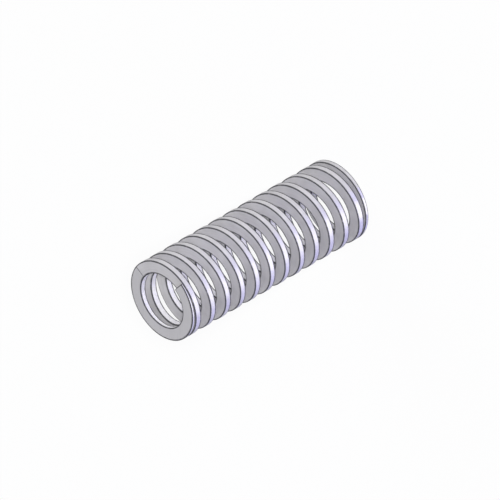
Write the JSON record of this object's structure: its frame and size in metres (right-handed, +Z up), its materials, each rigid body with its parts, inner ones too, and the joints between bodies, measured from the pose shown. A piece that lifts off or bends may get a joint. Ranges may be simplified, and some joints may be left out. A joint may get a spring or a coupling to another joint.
{
  "type": "compression spring",
  "caption": "Right-hand compression spring coiled from flat rectangular wire, closed and ground flat at both ends, open through the middle.",
  "frame": {"origin": "centre of the lower ground end, on the plane that the spring stands on", "axes": "+Z up the coil's axis, from the lower ground end to the upper one; the wire climbs anticlockwise seen from above"},
  "size_m": [0.0154, 0.0154, 0.044],
  "materials": {
    "spring_steel": "satin"
  },
  "bodies": {
    "root": {"spring_coil": "spring_steel"}
  },
  "joints": []
}
